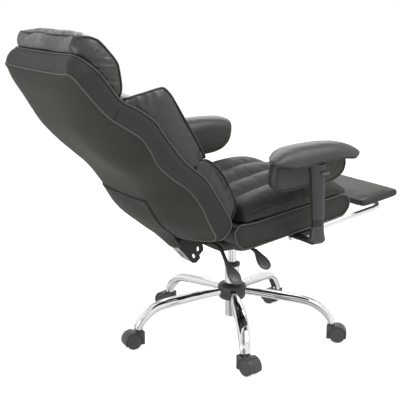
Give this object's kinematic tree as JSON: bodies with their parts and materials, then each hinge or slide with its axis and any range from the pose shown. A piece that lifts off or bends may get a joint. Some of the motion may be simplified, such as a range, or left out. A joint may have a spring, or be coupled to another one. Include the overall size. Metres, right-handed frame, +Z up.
{
  "type": "reclining office chair with footrest",
  "caption": "Padded office chair with a reclining back, pillows for head, shoulders and waist, sliding arms, a pull-out footrest and a chromed star base on twin-wheel casters.",
  "frame": {"origin": "middle of the bounding box in length and width, on the floor under the casters", "axes": "+Z up, -Y the way the sitter faces, +X to the sitter's left"},
  "size_m": [0.738, 1.181, 0.9753],
  "materials": {
    "chrome": "polished",
    "steel": "satin",
    "black_steel": "satin",
    "nylon": "matte",
    "arm_plastic": "satin",
    "leather": "satin",
    "leather_side": "satin"
  },
  "bodies": {
    "base": {"base_star": "chrome", "hub_cover": "nylon", "stand_tube": "chrome", "guide_bush": "nylon", "thrust_bearing": "steel", "caster_1_stem": "steel", "caster_2_stem": "steel", "caster_3_stem": "steel", "caster_4_stem": "steel", "caster_5_stem": "steel"},
    "rod": {"piston_rod": "steel", "retaining_clip": "steel"},
    "seat": {"gas_cylinder": "chrome", "mechanism_pan": "black_steel", "back_hinge_pin": "steel", "seat_board": "black_steel", "seat_block": "leather_side", "seat_cushion": "leather", "footrest_guide_left": "black_steel", "footrest_guide_right": "black_steel", "arm_left_bracket": "black_steel", "arm_left_post": "arm_plastic", "arm_right_bracket": "black_steel", "arm_right_post": "arm_plastic"},
    "back": {"back_bar": "black_steel", "back_body": "leather", "bar_sleeve": "leather", "headrest_pillow": "leather", "shoulder_pillow": "leather", "lumbar_pillow": "leather"},
    "footrest_rails": {"footrest_frame": "chrome"},
    "footrest_plate": {"footrest_bracket": "black_steel", "footrest_pad": "leather"},
    "arm_left": {"arm_left_sleeve": "arm_plastic", "arm_left_rest": "leather", "arm_left_pad": "leather"},
    "arm_left_key": {"arm_left_button": "arm_plastic"},
    "arm_right": {"arm_right_sleeve": "arm_plastic", "arm_right_rest": "leather", "arm_right_pad": "leather"},
    "arm_right_key": {"arm_right_button": "arm_plastic"},
    "lift_lever": {"lift_lever_rod": "black_steel", "lift_lever_paddle": "nylon"},
    "recline_lever": {"recline_lever_rod": "black_steel", "recline_lever_paddle": "nylon"},
    "caster_1": {"caster_1_hood": "nylon"},
    "caster_1_left": {"caster_1_wheel_left": "nylon"},
    "caster_1_right": {"caster_1_wheel_right": "nylon"},
    "caster_2": {"caster_2_hood": "nylon"},
    "caster_2_left": {"caster_2_wheel_left": "nylon"},
    "caster_2_right": {"caster_2_wheel_right": "nylon"},
    "caster_3": {"caster_3_hood": "nylon"},
    "caster_3_left": {"caster_3_wheel_left": "nylon"},
    "caster_3_right": {"caster_3_wheel_right": "nylon"},
    "caster_4": {"caster_4_hood": "nylon"},
    "caster_4_left": {"caster_4_wheel_left": "nylon"},
    "caster_4_right": {"caster_4_wheel_right": "nylon"},
    "caster_5": {"caster_5_hood": "nylon"},
    "caster_5_left": {"caster_5_wheel_left": "nylon"},
    "caster_5_right": {"caster_5_wheel_right": "nylon"}
  },
  "joints": [
    {"name": "seat_swivel", "type": "hinge", "parent": "base", "child": "rod", "pos_m": [0, -0.05272, 0.09969], "axis": [0, 0, 1], "continuous": true},
    {"name": "seat_height", "type": "slide", "parent": "rod", "child": "seat", "axis": [0, 0, 1], "range_m": [-0.045, 0.055]},
    {"name": "back_recline", "type": "hinge", "parent": "seat", "child": "back", "pos_m": [0, 0.09728, 0.37969], "axis": [1, 0, 0], "range_deg": [0, 32]},
    {"name": "footrest_slide", "type": "slide", "parent": "seat", "child": "footrest_rails", "axis": [0, -0.9877, 0.1564], "range_m": [-0.13, 0]},
    {"name": "footrest_flip", "type": "hinge", "parent": "footrest_rails", "child": "footrest_plate", "pos_m": [0, -0.54394, 0.39476], "axis": [1, 0, 0], "range_deg": [0, 180]},
    {"name": "arm_left_height", "type": "slide", "parent": "seat", "child": "arm_left", "axis": [0, 0, 1], "range_m": [-0.02, 0.05]},
    {"name": "arm_left_press", "type": "slide", "parent": "arm_left", "child": "arm_left_key", "axis": [0, 1, 0], "range_m": [0, 0.004], "stiffness_N_per_m": 400},
    {"name": "arm_right_height", "type": "slide", "parent": "seat", "child": "arm_right", "axis": [0, 0, 1], "range_m": [-0.02, 0.05]},
    {"name": "arm_right_press", "type": "slide", "parent": "arm_right", "child": "arm_right_key", "axis": [0, 1, 0], "range_m": [0, 0.004], "stiffness_N_per_m": 400},
    {"name": "lift_lever_pull", "type": "hinge", "parent": "seat", "child": "lift_lever", "pos_m": [-0.0585, -0.01272, 0.33569], "axis": [0, 1, 0], "range_deg": [0, 8], "stiffness_Nm_per_rad": 2},
    {"name": "recline_lever_pull", "type": "hinge", "parent": "seat", "child": "recline_lever", "pos_m": [-0.0585, 0.08128, 0.33569], "axis": [0, 1, 0], "range_deg": [0, 8], "stiffness_Nm_per_rad": 2},
    {"name": "caster_1_swivel", "type": "hinge", "parent": "base", "child": "caster_1", "pos_m": [0.04453, 0.26416, 0.05869], "axis": [0, 0, 1], "continuous": true},
    {"name": "caster_1_left_spin", "type": "hinge", "parent": "caster_1", "child": "caster_1_left", "pos_m": [0.03159, 0.28537, 0.02469], "axis": [-0.9962, 0.0872, 0], "continuous": true},
    {"name": "caster_1_right_spin", "type": "hinge", "parent": "caster_1", "child": "caster_1_right", "pos_m": [0.06097, 0.2828, 0.02469], "axis": [-0.9962, 0.0872, 0], "continuous": true},
    {"name": "caster_2_swivel", "type": "hinge", "parent": "base", "child": "caster_2", "pos_m": [0.31514, 0.00285, 0.05869], "axis": [0, 0, 1], "continuous": true},
    {"name": "caster_2_left_spin", "type": "hinge", "parent": "caster_2", "child": "caster_2_left", "pos_m": [0.32741, 0.02446, 0.02469], "axis": [-0.4067, 0.9135, 0], "continuous": true},
    {"name": "caster_2_right_spin", "type": "hinge", "parent": "caster_2", "child": "caster_2_right", "pos_m": [0.33941, -0.00249, 0.02469], "axis": [-0.4067, 0.9135, 0], "continuous": true},
    {"name": "caster_3_swivel", "type": "hinge", "parent": "base", "child": "caster_3", "pos_m": [0.15023, -0.33526, 0.05869], "axis": [0, 0, 1], "continuous": true},
    {"name": "caster_3_left_spin", "type": "hinge", "parent": "caster_3", "child": "caster_3_left", "pos_m": [0.16398, -0.31456, 0.02469], "axis": [-0.342, 0.9397, 0], "continuous": true},
    {"name": "caster_3_right_spin", "type": "hinge", "parent": "caster_3", "child": "caster_3_right", "pos_m": [0.17407, -0.34228, 0.02469], "axis": [-0.342, 0.9397, 0], "continuous": true},
    {"name": "caster_4_swivel", "type": "hinge", "parent": "base", "child": "caster_4", "pos_m": [-0.22229, -0.28291, 0.05869], "axis": [0, 0, 1], "continuous": true},
    {"name": "caster_4_left_spin", "type": "hinge", "parent": "caster_4", "child": "caster_4_left", "pos_m": [-0.22428, -0.30768, 0.02469], "axis": [0.7547, -0.6561, 0], "continuous": true},
    {"name": "caster_4_right_spin", "type": "hinge", "parent": "caster_4", "child": "caster_4_right", "pos_m": [-0.24654, -0.28833, 0.02469], "axis": [0.7547, -0.6561, 0], "continuous": true},
    {"name": "caster_5_swivel", "type": "hinge", "parent": "base", "child": "caster_5", "pos_m": [-0.28761, 0.08756, 0.05869], "axis": [0, 0, 1], "continuous": true},
    {"name": "caster_5_left_spin", "type": "hinge", "parent": "caster_5", "child": "caster_5_left", "pos_m": [-0.30506, 0.06986, 0.02469], "axis": [0.1564, -0.9877, 0], "continuous": true},
    {"name": "caster_5_right_spin", "type": "hinge", "parent": "caster_5", "child": "caster_5_right", "pos_m": [-0.30967, 0.099, 0.02469], "axis": [0.1564, -0.9877, 0], "continuous": true}
  ]
}
